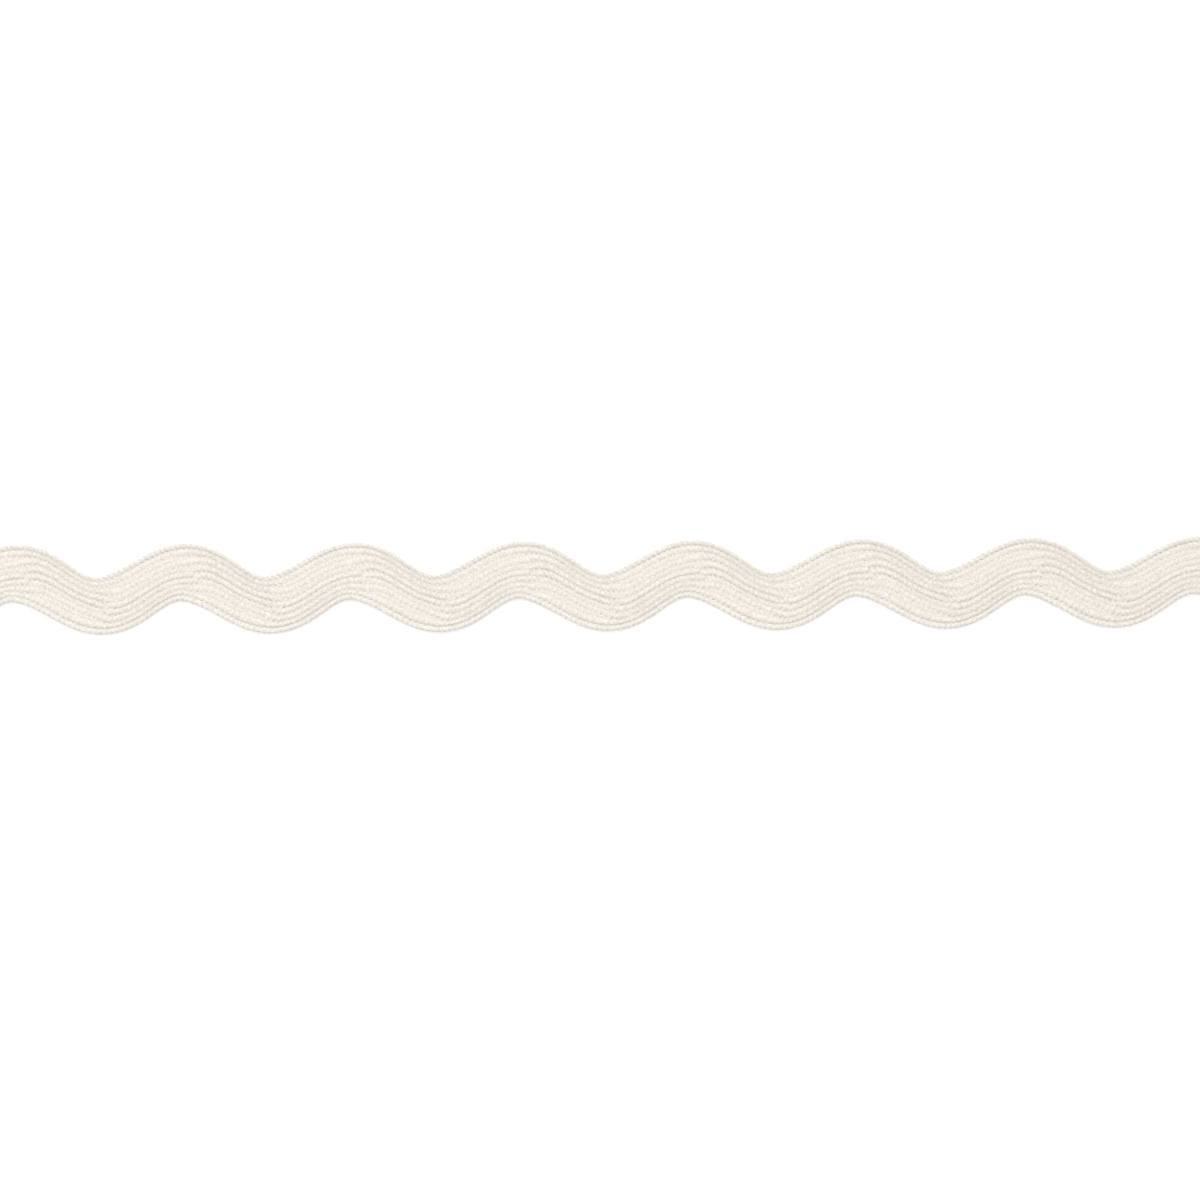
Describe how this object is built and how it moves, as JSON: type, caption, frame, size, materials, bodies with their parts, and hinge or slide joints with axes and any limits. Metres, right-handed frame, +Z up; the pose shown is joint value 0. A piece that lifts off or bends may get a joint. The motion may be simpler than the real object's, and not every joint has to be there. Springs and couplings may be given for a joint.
{
  "type": "cut length of ric rac braid",
  "caption": "Straight cut length of flat wavy braid trimming, lying flat, with ribs that bundle on each flank of the waves and a rounded cord along both edges.",
  "frame": {"origin": "on the flat underside, in the middle of the length and of the overall width", "axes": "+X along the length, +Y across the width, +Z up from the surface that it lies on"},
  "size_m": [0.188, 0.0126, 0.0012],
  "materials": {
    "cream_cotton": "matt braided cotton yarn"
  },
  "bodies": {
    "root": {"ric_rac_braid": "cream_cotton"}
  },
  "joints": []
}
